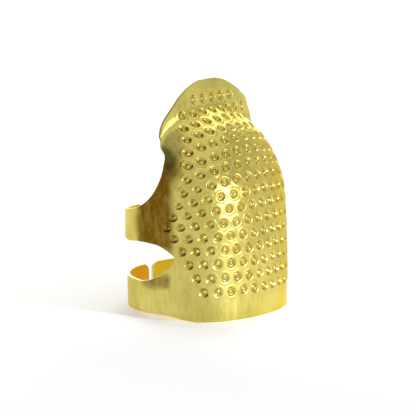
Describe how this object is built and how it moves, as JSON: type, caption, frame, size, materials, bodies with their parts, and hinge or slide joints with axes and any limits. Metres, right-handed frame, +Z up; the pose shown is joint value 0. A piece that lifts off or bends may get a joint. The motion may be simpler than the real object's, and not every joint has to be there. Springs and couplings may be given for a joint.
{
  "type": "open-back adjustable finger thimble",
  "caption": "Dimpled brass finger shield with an upright plain-edged lip and bendable bands that wrap round the finger.",
  "frame": {"origin": "centre of the bounding box's footprint, on the plane of the base rim", "axes": "+Z up from the base rim to the lip, -Y out of the dimpled front, X across the finger; X = 0 is the mirror plane"},
  "size_m": [0.0174, 0.0165, 0.0245],
  "materials": {
    "brass": "polished, pressed dimples, cut edges"
  },
  "bodies": {
    "shield": {"shield": "brass"},
    "upper_left_band": {"upper_left_band": "brass"},
    "upper_right_band": {"upper_right_band": "brass"},
    "lower_left_band": {"lower_left_band": "brass"},
    "lower_right_band": {"lower_right_band": "brass"}
  },
  "joints": [
    {"name": "upper_left_bend", "type": "hinge", "parent": "shield", "child": "upper_left_band", "pos_m": [-0.00855, 0, 0.0105], "axis": [0, 0, 1], "range_deg": [0, 35]},
    {"name": "upper_right_bend", "type": "hinge", "parent": "shield", "child": "upper_right_band", "pos_m": [0.00855, 0, 0.0105], "axis": [0, 0, -1], "range_deg": [0, 35]},
    {"name": "lower_left_bend", "type": "hinge", "parent": "shield", "child": "lower_left_band", "pos_m": [-0.00855, 0, 0.0025], "axis": [0, 0, 1], "range_deg": [0, 35]},
    {"name": "lower_right_bend", "type": "hinge", "parent": "shield", "child": "lower_right_band", "pos_m": [0.00855, 0, 0.0025], "axis": [0, 0, -1], "range_deg": [0, 35]}
  ]
}
